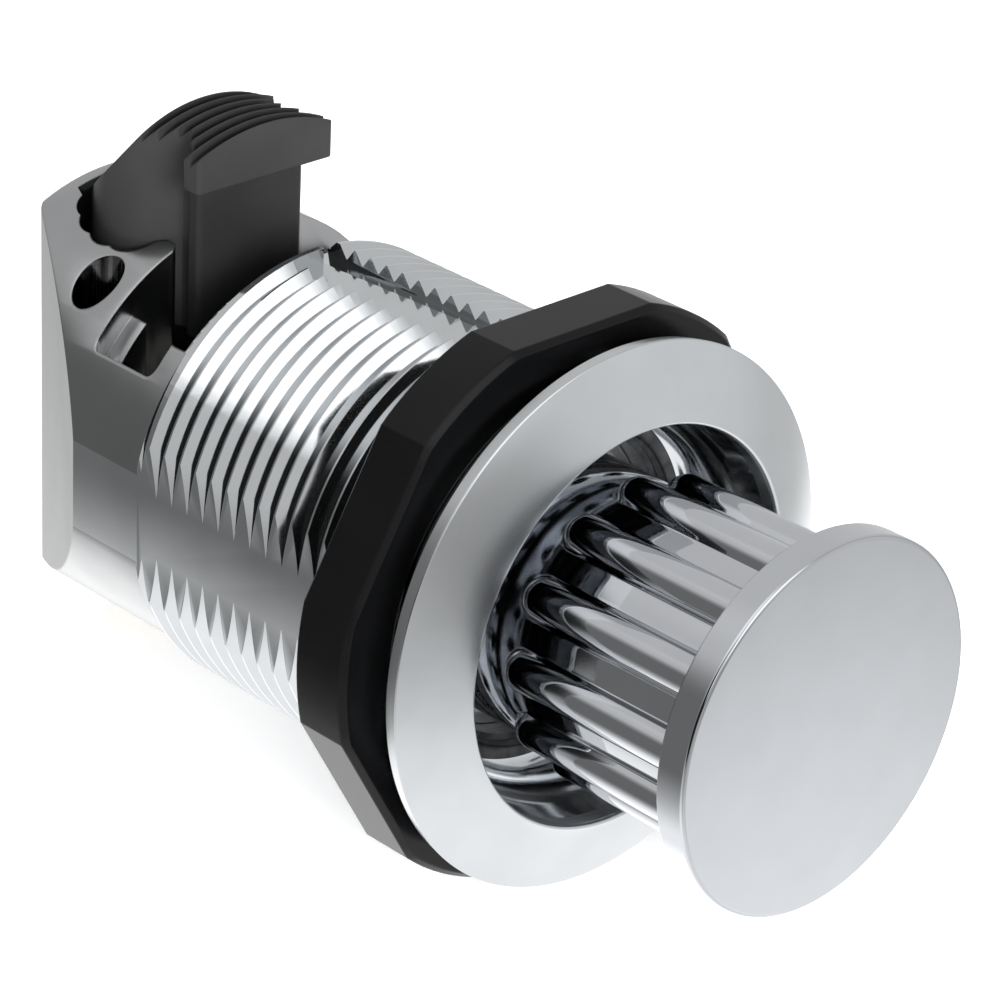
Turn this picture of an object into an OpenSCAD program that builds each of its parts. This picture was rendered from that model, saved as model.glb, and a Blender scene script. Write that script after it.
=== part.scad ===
// Push-to-close latch with a pop-out knob and a retractable slam bolt.
// The barrel axis is Y: the knob is at the front (-Y), the bolt points up (+Z) behind the panel.
// The origin is on the barrel axis, in the plane of the trim ring's back face. Millimetres.

/* [Trim ring] */
// Diameter of the trim ring where it touches the panel
ring_back_d = 37.8; // [36:0.1:44]
// Largest diameter of the trim ring
ring_d = 38.2; // [36.5:0.1:46]
// Height of the trim ring over the panel
ring_t = 2.98; // [2:0.05:4.5]
// Height of the ring's widest edge over the panel
ring_edge_h = 1.03; // [0.4:0.05:1.6]
// Diameter of the ring's front opening
ring_bore_d = 27.8; // [26.4:0.1:29]
// Thickness of the lip round the front opening
ring_lip_t = 1.5; // [1:0.1:1.8]
// Rounding of the front opening's edge
ring_fillet = 0.3; // [0.1:0.05:0.5]
// Depth of the seat in the ring's back that takes the barrel's end
ring_seat_t = 0.4; // [0.2:0.05:0.8]

/* [Threaded barrel] */
// Crest diameter of the barrel's thread
thread_d = 32.1; // [31.5:0.1:34]
// Distance between the barrel's two side flats
flat_w = 30; // [29.4:0.1:31]
// Length of the threaded barrel behind the panel face
barrel_len = 29.1; // [29:0.1:36]
// Chamfer at the end of the thread
thread_chamfer = 0.6; // [0.2:0.05:0.9]
// Reach of the keyway to the left of the axis
key_left = 2.47; // [2:0.01:4]
// Reach of the keyway to the right of the axis
key_right = 1.85; // [1:0.01:4]
// Depth of the keyway's floor under the thread's crest
key_depth = 1.15; // [0.9:0.05:2.4]
// Where the keyway starts behind the panel face
key_start = 6.4; // [6:0.1:9]
// Width of the open slot beside the stop block at the keyway's rear end
key_slot_w = 1.5; // [0.5:0.05:2.5]
// Depth of the cup behind the trim ring
cup_depth = 5.2; // [3:0.1:5.6]

/* [Panel nut] */
// Distance across the nut's flats
nut_af = 38.4; // [36:0.1:44]
// Diameter that rounds the nut's corners
nut_round_d = 40.3; // [38.6:0.1:48]
// Thickness of the nut
nut_t = 4.7; // [3:0.1:6]
// Thickness of the panel between trim ring and nut
panel_t = 2.64; // [0.8:0.02:3.5]
// Bevel of the nut's faces
nut_bevel = 0.5; // [0.2:0.05:1]

/* [Rear housing] */
// Diameter of the housing
housing_d = 30.7; // [29.4:0.1:31.6]
// Length of the housing behind the barrel
housing_len = 21.3; // [21:0.1:26]
// Thickness of the housing's skin
skin_t = 1.55; // [0.8:0.05:1.8]
// Length of the slanted sides along the axis
slant_len = 14.5; // [12:0.1:15]
// Width of the rear face between the slanted sides
rear_w = 13; // [12:0.1:18]
// Rounding of the rear edge
rear_round = 0.5; // [0.2:0.05:1]
// Rounding of the upright corners between the slanted sides and the rear face
rear_corner = 2.1; // [0.5:0.1:3]
// Diameter of the two vertical core holes
core_d = 3.6; // [2:0.1:4]
// Sideways distance of a core hole from the axis
core_x = 9.38; // [9:0.01:9.6]
// Distance of the core holes in front of the bolt's axis
core_front = 2.3; // [1:0.1:3]

/* [Window] */
// Width of the window in the top of the housing
window_w = 24.9; // [20:0.1:26]
// Distance from the front of the bolt's plate to the window's rear edge
window_back = 1.8; // [1.6:0.1:3]
// Rounding of the window's corners
window_r = 0.6; // [0.2:0.05:1]
// Length of the small lugs at the window's front corners
lug_len = 1.65; // [1.2:0.05:2.2]
// Width of each lug
lug_w = 1.75; // [1:0.05:2.5]
// Sideways distance of the inner blocks from the axis
block_x = 9; // [8:0.1:10]
// Step from the inner blocks' front to the window's rear edge
block_step = 1.5; // [0.5:0.1:2]

/* [Knob] */
// Diameter of the knob's head
head_d = 25.68; // [24:0.02:27]
// Thickness of the head at its rim
head_t = 2.25; // [1.5:0.05:3.2]
// Rise of the head's face at its centre
head_dome = 0.25; // [0.1:0.05:0.6]
// Reach of the head's front rim over the panel when popped out
knob_reach = 19.87; // [16:0.01:21]
// Diameter over the ribs of the stem
stem_d = 21.4; // [20.4:0.1:22]
// Number of ribs
rib_n = 12; // [8:1:14]
// Radius of a rib's half-round section
rib_r = 1.55; // [1:0.05:1.8]
// Radial height of the ribs over the lands
rib_h = 1.25; // [0.6:0.05:1.4]
// Where the ribs' round ends stand over the panel
rib_end = 1.2; // [0.5:0.1:3]
// Diameter of the stem's hollow
hollow_d = 14.4; // [13.6:0.1:15]

/* [Bolt] */
// Height of the bolt's crown over the axis
bolt_top = 23.5; // [21:0.1:25]
// Radius of the crown across the bolt
crown_r = 14.3; // [12:0.1:18]
// Radius of the bolt's round body
bolt_r = 6.2; // [5.6:0.05:6.6]
// Depth of the flat on the back of the round body
rear_flat = 0.1; // [0.05:0.05:0.6]
// Half width of the bolt's rear face
bolt_rear_half = 3.2; // [2.6:0.05:3.6]
// Distance from the front of the bolt's plate to the round body's axis
plate_reach = 7.3; // [6.8:0.1:8]
// Half width of the front plate
plate_half = 4.68; // [4.2:0.02:4.8]
// Half width of the waist behind the front plate
waist_half = 3.97; // [3.4:0.01:4.1]
// Half width of the strike tab
tab_half = 6; // [5:0.1:7]
// Distance that the tab stands out in front of the plate
tab_reach = 1.5; // [0.8:0.1:2]
// Height of the tab's underside over the axis
tab_z = 19.6; // [18:0.1:20.2]
// Number of saw teeth over the crown
tooth_n = 6; // [4:1:7]
// Pitch of the saw teeth
tooth_pitch = 1.07; // [0.8:0.01:1.15]
// Depth of the saw teeth
tooth_depth = 0.82; // [0.4:0.02:1]
// Angle of the ramp behind the teeth
ramp_angle = 46; // [40:1:50]
// Radius of the ramp across the bolt
ramp_r = 12; // [9:0.1:14]
// Gap round the front of the bolt in its well
well_gap = 0.2; // [0.15:0.05:0.5]
// Reach of the well's flutes beside the bolt
flute_reach = 1.2; // [0.5:0.05:1.3]
// Radius of a flute
flute_r = 2.2; // [1.2:0.1:3]
// Number of flutes on each side of the well
flute_n = 4; // [2:1:5]
// Rounding of the corners between well and window
neck_round = 0.7; // [0.2:0.05:1]
// Gap behind the bolt in its well
well_rear_gap = 0.5; // [0.3:0.05:0.8]
// Thickness of the casting behind the well
rear_skin = 1.3; // [0.8:0.1:2]

/* [Linkage] */
// Travel of the bolt from thrown to flush
bolt_travel = 8.3; // [6:0.1:8.4]
// Pull of the knob that retracts the bolt
pull_travel = 4; // [3.4:0.1:4.1]
// Diameter of the pull rod
rod_d = 6; // [5:0.1:6.4]
// Diameter of the cross pin
pin_d = 2.4; // [1.8:0.1:2.5]
// Thickness of the bolt's cam leg
leg_t = 4.8; // [4:0.1:5]
// Thickness of each fork tine
tine_t = 2.2; // [1.6:0.1:2.3]
// Wire diameter of the knob spring
knob_wire = 0.6; // [0.4:0.05:0.65]
// Outer diameter of the knob spring
knob_spring_d = 11.5; // [9:0.1:12.5]
// Turns of the knob spring
knob_turns = 7; // [5:1:7]
// Wire diameter of the bolt spring
bolt_wire = 0.4; // [0.3:0.05:0.5]
// Outer diameter of the bolt spring
bolt_spring_d = 2.8; // [2.4:0.1:2.9]
// Turns of the bolt spring
bolt_turns = 14; // [8:1:16]

/* [Hidden] */
$fn = 96;

// Clearances
run_gap = 0.05;
seat_gap = 0.02;
pin_gap = 0.1;
side_gap = 0.3;
cut = 1;
tuck = 0.02;

// Trim ring and barrel
thread_r = thread_d / 2;
ring_bore_r = ring_bore_d / 2;
cup_r = ring_bore_r + 0.3;
spigot_r = cup_r + 0.75;
spigot_end = -(ring_t - ring_lip_t);
seat_r = thread_r + 0.2;
barrel_y = seat_gap - ring_seat_t;
key_floor = thread_r - key_depth;
stem_r = stem_d / 2;
bore_r = stem_r + run_gap;

// Rear housing: stations along Y behind the panel face
housing_r = housing_d / 2;
inner_r = housing_r - skin_t;
housing_y = barrel_len - 1;
housing_end = barrel_len + housing_len;
slant_y = housing_end - slant_len;
web_end = barrel_len - 0.9;
web_t = 1.7;
web_y = web_end - web_t;
window_y = barrel_len + 0.25;
lug_y = barrel_len + lug_len;

// Bolt: plan and stations
well_rear = housing_end - rear_skin;
bolt_rear = well_rear - well_rear_gap;
bolt_y = bolt_rear - bolt_r + rear_flat;
plate_y = bolt_y - plate_reach;
window_end = plate_y + window_back;
block_y = window_end - block_step;
plate_t = 1.4;
waist_y = plate_y + 0.8;
tab_y = plate_y - tab_reach;
crown_z = bolt_top - crown_r;
ramp_y = tab_y + tooth_n * tooth_pitch;
ramp_drop = 0.06;
well_r = bolt_r + well_gap;
well_rear_half = bolt_rear_half + 0.9;
neck_half = plate_half + 0.17;
flute_first = -15.5;
flute_step = 18.8;

// Cam linkage
pin_r = pin_d / 2;
pin_y = bolt_y - 0.1;
pin_z = -2.4;
leg_half = leg_t / 2;
leg_wall = 1.1;
leg_bottom = pin_z - pin_r - pin_gap - leg_wall;
leg_y = plate_y - 0.2;
tine_in = leg_half + side_gap;
tine_out = tine_in + tine_t;
tine_top = pin_z + pin_r + 0.7;
tine_bottom = pin_z - pin_r - 0.7;
tine_end = pin_y + pin_r + 0.6;
bolt_bottom = tine_top + side_gap + bolt_travel;
clip_t = 0.5;
clip_r = 2;
pin_half = tine_out + clip_t + 0.5;
link_half = pin_half + 0.5;
rod_r = rod_d / 2;
fork_t = 2;
fork_rear = leg_y - side_gap;
fork_y = fork_rear - fork_t;
fork_top = rod_r;
countersink_r = 2;
shank_r = 1;
shank_len = 4.8;
shank_hole = shank_len + 0.2;
screw_slot_depth = 0.4;
screw_slot_half = 0.25;
head_slot_depth = 0.7;
bush_wall = 2;
guide_hole_r = rod_r + bush_wall;

// Knob stack: stations along Y when popped out
park_travel = knob_reach - ring_t;
head_back = -knob_reach + head_t;
knob_inner = head_back + 0.3;
washer_t = 1.2;
washer_y = knob_inner + park_travel + knob_wire * knob_turns + 0.4;
washer_r = hollow_d / 2 - 0.3;
collar_front = washer_y + washer_t + 0.1;
stem_wall = 1.5;
stem_end = collar_front + stem_wall;
collar_wall = 1.9;
collar_end = stem_end + collar_wall;
land_r = stem_r - rib_h;
groove_y = stem_end + 0.45;
groove_t = 1;
groove_r = stem_r - 1.1;
pad_t = 0.6;
park_t = 1;
park_lead = 1.34;
park_y = web_y - pad_t - park_lead - park_t;
park_r = bore_r + 1.1;
head_screw_r = 2.4;
head_screw_h = 1.5;

// Bolt spring in the leg's rear column
column_bore_r = bolt_spring_d / 2 + 0.2;
column_wall = 1.05;
column_y = pin_y + pin_r + pin_gap + column_wall + column_bore_r;
column_top = 5;
column_end = column_y + column_bore_r + 0.7;
plug_r = 2.5;
plug_floor = -inner_r + 0.35;
plug_bottom = -housing_r + 0.05;
pilot_len = 2;
pilot_r = bolt_spring_d / 2 - bolt_wire - 0.15;

// A solid cylinder of radius r along Y from y0 to y1
module rod_y(y0, y1, r) {
    translate([0, y0, 0])
        rotate([-90, 0, 0])
            cylinder(h = y1 - y0, r = r);
}

// A solid turned about the Y axis from a profile of [radius, y] points
module turned_y(profile) {
    rotate([-90, 0, 0])
        rotate_extrude()
            polygon(profile);
}

// A prism along Z over a plan in X and Y
module plan_prism(z0, z1) {
    translate([0, 0, z0])
        linear_extrude(height = z1 - z0)
            children();
}

// A prism along X, centred on x, over a drawing in Y and Z
module side_prism(x, width) {
    translate([x - width / 2, 0, 0])
        rotate([90, 0, 90])
            linear_extrude(height = width)
                children();
}

// A box from its low and high corners
module box(low, high) {
    translate(low)
        cube(high - low);
}

// A rectangle centred on X with round corners
module round_rect(half, y0, y1, r) {
    union() {
        translate([-half, y0 + r])
            square([2 * half, y1 - y0 - 2 * r]);
        translate([-half + r, y0])
            square([2 * half - 2 * r, y1 - y0]);
        for (x = [-half + r, half - r], y = [y0 + r, y1 - r])
            translate([x, y])
                circle(r = r);
    }
}

// A round plan with sides that run back to a flat rear face and leave the round almost along it
module teardrop_plan(cy, r, rear, half) {
    inside_r = r - tuck;
    turn = atan2(rear - cy, half) - acos(inside_r / norm([half, rear - cy]));
    tx = inside_r * cos(turn);
    ty = cy + inside_r * sin(turn);
    union() {
        translate([0, cy])
            circle(r = r);
        polygon([[0, cy], [tx, ty], [half, rear], [-half, rear], [-tx, ty]]);
    }
}

// The area that a circle of radius r covers as it runs round a triangle
module round_triangle(a, b, c, r) {
    corners = [a, b, c];
    union() {
        polygon(corners);
        for (i = [0 : 2]) {
            p = corners[i];
            q = corners[(i + 1) % 3];
            side = (q - p) / norm(q - p);
            out = r * [side[1], -side[0]];
            polygon([p, p + out, q + out, q]);
            translate(p)
                circle(r = r);
        }
    }
}

// Points of a shallow bulge from p to q, off the straight line by rise at its middle
function bulge(p, q, rise, n) =
    let (d = (q - p) / norm(q - p), out = [d[1], -d[0]])
    [for (i = [0 : n]) p + (q - p) * i / n + out * rise * 4 * (i / n) * (1 - i / n)];

// Points of a quarter round of radius r about c, from angle a0 to a1
function round_points(c, r, a0, a1, n) =
    [for (i = [0 : n]) c + r * [cos(a0 + (a1 - a0) * i / n), sin(a0 + (a1 - a0) * i / n)]];

// A coil spring along +Z from 0 to height, with closed ends, as one unbroken tube
module coil(r, wire, height, turns) {
    rings = 8;
    sides = 6;
    steps = turns * rings;
    wr = wire / 2;
    end_turns = 1;
    // Height of the wire's centre after t turns: the end turns climb one wire each
    function climb(t) =
        t < end_turns ? wire * 1.08 * t :
        t > turns - end_turns ? height - wire - wire * 1.08 * (turns - t) :
        wire * 1.08 * end_turns + (height - wire - 2.16 * wire * end_turns) * (t - end_turns)
            / (turns - 2 * end_turns);
    points = [for (s = [0 : steps], k = [0 : sides - 1])
        let (turn = 360 * s / rings, around = 360 * k / sides, rr = r + wr * cos(around))
        [rr * cos(turn), rr * sin(turn), wr + climb(s / rings) + wr * sin(around)]];
    skin = [for (s = [0 : steps - 1], k = [0 : sides - 1])
        let (a = s * sides + k, b = s * sides + (k + 1) % sides)
        each [[a, a + sides, b + sides], [a, b + sides, b]]];
    first_cap = [for (k = [1 : sides - 2]) [0, k, k + 1]];
    last = steps * sides;
    last_cap = [for (k = [1 : sides - 2]) [last, last + k + 1, last + k]];
    polyhedron(points = points, faces = concat(skin, first_cap, last_cap));
    middle_gap = (height - wire - 2.16 * wire * end_turns) / (turns - 2 * end_turns) - wire;
    echo(least_gap_between_open_turns = middle_gap);
}

// Case casting: threaded barrel and rear housing in one piece
module body() {
    color([0.66, 0.67, 0.69])
        difference() {
            union() {
                barrel_solid();
                housing_solid();
            }
            barrel_bores();
            housing_hollow();
            bolt_well();
            window_cut();
            box([key_right - key_slot_w, housing_y - cut, key_floor], [key_right, lug_y, thread_r + cut]);
            for (side = [-1, 1])
                translate([side * core_x, bolt_y - core_front, -inner_r / 2])
                    cylinder(h = 2 * housing_r, d = core_d);
            translate([0, column_y, -housing_r - cut])
                cylinder(h = housing_r, r = plug_r + seat_gap);
        }
}

// Threaded barrel at its crest, with the spigot that carries the trim ring
module barrel_solid() {
    rod_y(spigot_end, cut, spigot_r);
    difference() {
        turned_y([[0, barrel_y], [thread_r, barrel_y], [thread_r, barrel_len - thread_chamfer],
                  [thread_r - thread_chamfer, barrel_len], [0, barrel_len]]);
        for (side = [-1, 1])
            box([side * (flat_w / 2 + thread_r) - thread_r, -cut, -thread_r],
                [side * (flat_w / 2 + thread_r) + thread_r, housing_end, thread_r]);
        box([-key_left, key_start, key_floor], [key_right, housing_y, thread_r + cut]);
    }
}

// Outside of the rear housing: a cylinder with side flats and slanted rear sides
module housing_solid() {
    slant_x = flat_w / 2;
    slant_turn = atan2(slant_x - rear_w / 2, slant_len);
    corner_x = rear_w / 2 - rear_corner * tan((90 - slant_turn) / 2);
    intersection() {
        turned_y(concat([[0, housing_y], [housing_r, housing_y]],
            round_points([housing_r - rear_round, housing_end - rear_round], rear_round, 0, 90, 6),
            [[0, housing_end]]));
        plan_prism(-housing_r, housing_r)
            polygon(concat([[-slant_x, housing_y], [slant_x, housing_y], [slant_x, slant_y]],
                round_points([corner_x, housing_end - rear_corner], rear_corner, slant_turn, 90, 10),
                round_points([-corner_x, housing_end - rear_corner], rear_corner, 90, 180 - slant_turn, 10),
                [[-slant_x, slant_y]]));
    }
}

// Cup for the parked head, stem bore, park ring groove and the hole of the guide bush
module barrel_bores() {
    rod_y(spigot_end - cut, cup_depth, cup_r);
    rod_y(cup_depth - cut, web_y, bore_r);
    rod_y(park_y, park_y + park_t, park_r);
    rod_y(web_y - cut, web_end + cut, guide_hole_r);
}

// Chamber of the linkage behind the barrel's web
module housing_hollow() {
    rod_y(web_end, barrel_len + cut, inner_r - 1);
    rod_y(barrel_len, block_y, inner_r);
    intersection() {
        rod_y(barrel_len, window_end, inner_r);
        box([-block_x, barrel_len, -housing_r], [block_x, window_end, housing_r]);
    }
    box([-link_half, block_y - cut, leg_bottom - 0.6], [link_half, tine_end + 0.6, tine_top + side_gap]);
}

// Well that the bolt slides in: open at the top, with a floor that follows the skin
module bolt_well() {
    intersection() {
        plan_prism(-housing_r, housing_r + cut)
            well_plan();
        union() {
            rod_y(barrel_len, housing_end, inner_r);
            box([-housing_r, barrel_len, 0], [housing_r, housing_end, housing_r + 2 * cut]);
        }
    }
}

// Plan of the well: the bolt's own plan with its gaps, flutes on both sides and a neck to the window
module well_plan() {
    union() {
        teardrop_plan(bolt_y, well_r, well_rear, well_rear_half);
        for (side = [-1, 1], i = [0 : flute_n - 1])
            translate([0, bolt_y])
                rotate(90 - side * (90 - flute_first - i * flute_step))
                    translate([bolt_r + flute_reach - flute_r, 0])
                        circle(r = flute_r);
        translate([-neck_half, block_y])
            square([2 * neck_half, bolt_y - block_y]);
        for (side = [-1, 1])
            neck_corner(side);
    }
}

// The area between a round corner of the neck and the sharp one that it replaces
module neck_corner(side) {
    difference() {
        translate([side * (neck_half + neck_round / 2) - neck_round / 2, window_end - tuck])
            square([neck_round, neck_round + tuck]);
        translate([side * (neck_half + neck_round), window_end + neck_round])
            circle(r = neck_round);
    }
}

// Window over the strike tab, stepped in at its front corners by two lugs
module window_cut() {
    half = window_w / 2;
    difference() {
        plan_prism(inner_r * 0.3, housing_r + cut)
            union() {
                round_rect(half, lug_y, window_end, window_r);
                translate([-half + lug_w, window_y])
                    square([2 * (half - lug_w), lug_y - window_y + window_r]);
            }
        rod_y(block_y, window_end + cut, inner_r);
    }
}

// Polished trim ring with a convex face
module trim_ring() {
    back_r = ring_back_d / 2;
    edge_r = ring_d / 2;
    lip_front = ring_bore_r + ring_fillet;
    color([0.8, 0.81, 0.82])
        turned_y(concat(
            [[spigot_r + seat_gap, -ring_seat_t], [seat_r, -ring_seat_t], [seat_r, 0], [back_r, 0]],
            bulge([edge_r, -ring_edge_h], [lip_front, -ring_t], 0.22, 12),
            round_points([lip_front, -ring_t + ring_fillet], ring_fillet, 270, 180, 4),
            [[ring_bore_r, spigot_end - seat_gap], [spigot_r + seat_gap, spigot_end - seat_gap]]));
}

// Hexagonal panel nut with its corners turned off
module panel_nut() {
    corner_r = nut_round_d / 2;
    rear = panel_t + nut_t;
    color([0.14, 0.14, 0.15])
        difference() {
            intersection() {
                translate([0, panel_t, 0])
                    rotate([-90, 0, 0])
                        cylinder(h = nut_t, r = nut_af / 2 / cos(30), $fn = 6);
                turned_y([[0, panel_t], [corner_r - nut_bevel, panel_t], [corner_r, panel_t + nut_bevel],
                          [corner_r, rear - nut_bevel / 2], [corner_r - nut_bevel / 2, rear], [0, rear]]);
            }
            rod_y(panel_t - cut, rear + cut, thread_r + run_gap);
        }
}

// Bush in the web that guides the pull rod
module guide_bush() {
    color([0.85, 0.83, 0.76])
        difference() {
            rod_y(web_y, web_end, guide_hole_r - seat_gap);
            rod_y(web_y - cut, web_end + cut, rod_r + run_gap);
        }
}

// Soft ring that stops the parked stem
module stop_pad() {
    color([0.12, 0.12, 0.12])
        difference() {
            rod_y(web_y - pad_t, web_y, bore_r - seat_gap);
            rod_y(web_y - pad_t - cut, web_y + cut, guide_hole_r);
        }
}

// Split snap ring in the barrel that holds the parked stem
module park_ring() {
    split = 5;
    color([0.6, 0.6, 0.62])
        difference() {
            rod_y(park_y + seat_gap, park_y + park_t - seat_gap, park_r - seat_gap);
            rod_y(park_y - cut, park_y + park_t + cut, bore_r + run_gap);
            box([-split / 2, park_y - cut, -park_r - cut], [split / 2, park_y + park_t + cut, 0]);
        }
}

// Slotted plug that closes the bolt spring's seat
module bottom_plug() {
    slot_w = 0.8;
    slot_depth = 0.6;
    color([0.75, 0.66, 0.4])
        difference() {
            translate([0, column_y, plug_bottom])
                union() {
                    cylinder(h = plug_floor - plug_bottom, r = plug_r);
                    cylinder(h = plug_floor - plug_bottom + pilot_len, r = pilot_r);
                }
            box([-plug_r, column_y - slot_w / 2, plug_bottom - cut],
                [plug_r, column_y + slot_w / 2, plug_bottom + slot_depth]);
        }
}

// Spring under the bolt
module bolt_spring() {
    color([0.7, 0.7, 0.72])
        translate([0, column_y, plug_floor + seat_gap])
            coil(bolt_spring_d / 2 - bolt_wire / 2, bolt_wire, column_top - plug_floor - 2 * seat_gap, bolt_turns);
}

// Rod that carries the knob's pull through the web to the fork
module pull_rod() {
    color([0.72, 0.72, 0.74])
        difference() {
            rod_y(washer_y + washer_t, fork_y, rod_r);
            rod_y(washer_y, washer_y + washer_t + shank_hole, shank_r + seat_gap);
            rod_y(fork_y - shank_hole, fork_y + cut, shank_r + seat_gap);
        }
}

// Washer on the rod's front end that the knob's collar pulls on
module rod_washer() {
    color([0.7, 0.7, 0.72])
        difference() {
            rod_y(washer_y, washer_y + washer_t, washer_r);
            rod_y(washer_y - cut, washer_y + washer_t + cut, shank_r + seat_gap);
        }
}

// Cheese-head screw that holds the washer to the rod
module rod_screw() {
    color([0.6, 0.6, 0.62])
        difference() {
            union() {
                rod_y(washer_y - head_screw_h, washer_y, head_screw_r);
                rod_y(washer_y - cut, washer_y + washer_t + shank_len, shank_r);
            }
            box([-head_screw_r - cut, washer_y - head_screw_h - cut, -screw_slot_half],
                [head_screw_r + cut, washer_y - head_screw_h + head_slot_depth, screw_slot_half]);
        }
}

// Fork that straddles the bolt's cam leg
module fork() {
    color([0.62, 0.62, 0.64])
        difference() {
            union() {
                box([-tine_out, fork_y, tine_bottom], [tine_out, fork_rear, fork_top]);
                for (side = [-1, 1])
                    side_prism(side * (tine_in + tine_t / 2), tine_t)
                        union() {
                            translate([fork_y, tine_bottom])
                                square([pin_y - fork_y, tine_top - tine_bottom]);
                            translate([pin_y, pin_z])
                                circle(r = (tine_top - tine_bottom) / 2);
                        }
            }
            side_prism(0, 2 * tine_out + 2 * cut)
                translate([pin_y, pin_z])
                    circle(r = pin_r + seat_gap);
            rod_y(fork_y - cut, fork_rear + cut, shank_r + seat_gap);
            turned_y([[0, fork_rear - countersink_r + shank_r], [shank_r + seat_gap, fork_rear - countersink_r + shank_r],
                      [countersink_r + seat_gap, fork_rear], [countersink_r + seat_gap, fork_rear + cut],
                      [0, fork_rear + cut]]);
        }
}

// Countersunk screw that joins the fork to the rod
module fork_screw() {
    color([0.6, 0.6, 0.62])
        difference() {
            union() {
                rod_y(fork_y - shank_len, fork_rear - screw_slot_depth - tuck, shank_r);
                turned_y([[0, fork_rear - countersink_r + shank_r], [shank_r, fork_rear - countersink_r + shank_r],
                          [countersink_r, fork_rear], [0, fork_rear]]);
            }
            box([-countersink_r - cut, fork_rear - screw_slot_depth, -screw_slot_half],
                [countersink_r + cut, fork_rear + cut, screw_slot_half]);
        }
}

// Cross pin that works in the bolt's cam window
module cross_pin() {
    neck = 0.3;
    color([0.75, 0.75, 0.77])
        translate([0, pin_y, pin_z])
            rotate([0, 90, 0])
                rotate_extrude()
                    polygon(concat([[0, -pin_half], [pin_r - 0.2, -pin_half], [pin_r, -pin_half + 0.2]],
                        [[pin_r, -tine_out - clip_t], [pin_r - neck, -tine_out - clip_t],
                         [pin_r - neck, -tine_out], [pin_r, -tine_out]],
                        [[pin_r, tine_out], [pin_r - neck, tine_out],
                         [pin_r - neck, tine_out + clip_t], [pin_r, tine_out + clip_t]],
                        [[pin_r, pin_half - 0.2], [pin_r - 0.2, pin_half], [0, pin_half]]));
}

// Open retaining clip in a groove of the cross pin
module pin_clip(side) {
    neck_r = pin_r - 0.3 + seat_gap;
    color([0.5, 0.5, 0.52])
        side_prism(side * (tine_out + clip_t / 2), clip_t - 2 * seat_gap)
            difference() {
                translate([pin_y, pin_z])
                    circle(r = clip_r);
                translate([pin_y, pin_z])
                    circle(r = neck_r);
                translate([pin_y, pin_z - neck_r * 0.8])
                    square([clip_r + cut, neck_r * 1.6]);
            }
}

module pin_clip_left() {
    pin_clip(-1);
}

module pin_clip_right() {
    pin_clip(1);
}

// Knob: domed head on a hollow stem with half-round ribs
module knob() {
    head_r = head_d / 2;
    edge = 0.15;
    rib_centre = stem_r - rib_r;
    rib_length = -head_back - rib_end - rib_r;
    color([0.8, 0.81, 0.82])
        difference() {
            union() {
                turned_y(concat(
                    [[0, head_back], [head_r - edge, head_back], [head_r, head_back - edge],
                     [head_r, -knob_reach + edge], [head_r - edge, -knob_reach]],
                    bulge([head_r - edge, -knob_reach], [0, -knob_reach - head_dome], 0.06, 10)));
                rod_y(head_back - cut / 2, stem_end, land_r);
                for (i = [0 : rib_n - 1])
                    rotate([0, 360 * i / rib_n, 0])
                        translate([0, head_back - cut / 2, rib_centre])
                            rotate([-90, 0, 0])
                                union() {
                                    cylinder(h = rib_length + cut / 2, r = rib_r, $fn = 48);
                                    translate([0, 0, rib_length + cut / 2])
                                        sphere(r = rib_r, $fn = 48);
                                }
            }
            rod_y(knob_inner, stem_end + cut, hollow_d / 2);
        }
}

// Collar screwed into the stem: it runs in the barrel and pulls on the rod's washer
module stem_collar() {
    color([0.72, 0.72, 0.74])
        turned_y([[rod_r + run_gap, collar_front], [hollow_d / 2 - seat_gap, collar_front],
                  [hollow_d / 2 - seat_gap, stem_end], [stem_r, stem_end],
                  [stem_r, groove_y], [groove_r, groove_y], [groove_r, groove_y + groove_t],
                  [stem_r, groove_y + groove_t], [stem_r, collar_end], [rod_r + run_gap, collar_end]]);
}

// Plastic ring in the collar's groove that slides in the barrel
module slide_ring() {
    color([0.9, 0.89, 0.85])
        difference() {
            rod_y(groove_y + seat_gap, groove_y + groove_t - seat_gap, stem_r + 0.02);
            rod_y(groove_y - cut, groove_y + groove_t + cut, groove_r + seat_gap);
        }
}

// Spring that pops the knob out
module knob_spring() {
    color([0.7, 0.7, 0.72])
        translate([0, knob_inner + seat_gap, 0])
            rotate([-90, 0, 0])
                coil(knob_spring_d / 2 - knob_wire / 2, knob_wire, washer_y - knob_inner - 2 * seat_gap, knob_turns);
}

// Slam bolt: round body, strike tab, saw-tooth crown, rear ramp and cam leg
module bolt() {
    color([0.15, 0.15, 0.16])
        difference() {
            union() {
                intersection() {
                    bolt_outline();
                    bolt_crown();
                }
                plan_prism(leg_bottom, bolt_bottom + cut)
                    translate([-leg_half, leg_y])
                        square([leg_t, column_end - leg_y]);
            }
            bolt_ramp_cut();
            cam_window();
            translate([0, column_y, leg_bottom - cut])
                cylinder(h = column_top - leg_bottom + cut, r = column_bore_r);
        }
}

// Upright outline of the bolt over the housing's chamber
module bolt_outline() {
    corner = 0.4;
    plan_prism(bolt_bottom, bolt_top + cut)
        union() {
            teardrop_plan(bolt_y, bolt_r, bolt_rear, bolt_rear_half);
            round_rect(plate_half, plate_y, plate_y + plate_t, corner);
            translate([-waist_half, waist_y])
                square([2 * waist_half, bolt_y - waist_y]);
        }
    plan_prism(tab_z, bolt_top + cut)
        round_rect(tab_half, tab_y, plate_y + corner, corner);
}

// Crown turned about an axis along Y, with saw teeth whose steep sides face the front
module bolt_crown() {
    teeth = [for (i = [0 : tooth_n - 1])
        each [[crown_r, tab_y + i * tooth_pitch], [crown_r - tooth_depth, tab_y + (i + 1) * tooth_pitch]]];
    translate([0, 0, crown_z])
        turned_y(concat([[0, tab_y]], teeth, [[crown_r, ramp_y], [crown_r, bolt_rear], [0, bolt_rear]]));
}

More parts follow.
